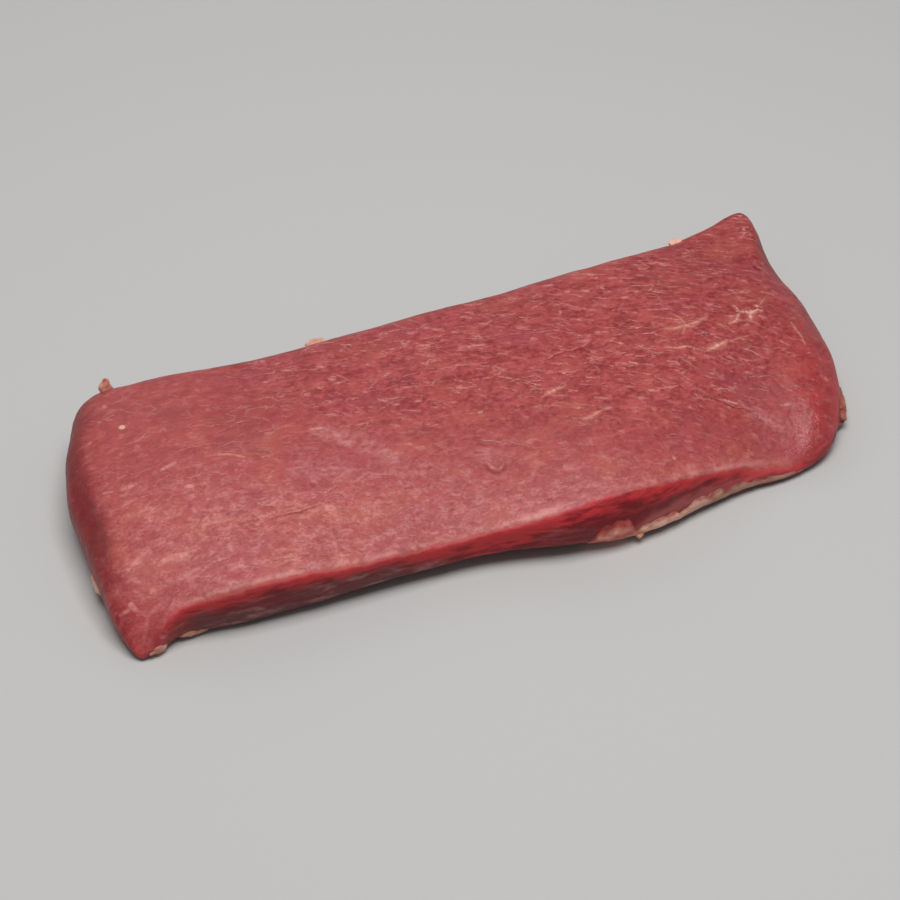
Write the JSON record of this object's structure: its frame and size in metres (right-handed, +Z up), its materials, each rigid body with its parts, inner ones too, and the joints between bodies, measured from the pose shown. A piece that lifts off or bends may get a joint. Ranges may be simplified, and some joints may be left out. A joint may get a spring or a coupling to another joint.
{
  "type": "lamb loin",
  "caption": "Boneless raw lamb loin: a flat four-cornered slab of red meat with a rolled front edge, a drooping front corner, a lifted back corner and a ribbon of fat along its foot.",
  "frame": {"origin": "middle of the slab's bounding box, on the surface it lies on", "axes": "+X along the loin towards its gently sloping end, +Y towards the long back edge, +Z up through the thickness"},
  "size_m": [0.2134, 0.1054, 0.0215],
  "materials": {
    "meat": "moist raw meat with fine grain, marbling and bits of fat"
  },
  "bodies": {
    "root": {"lamb_loin": "meat"}
  },
  "joints": []
}
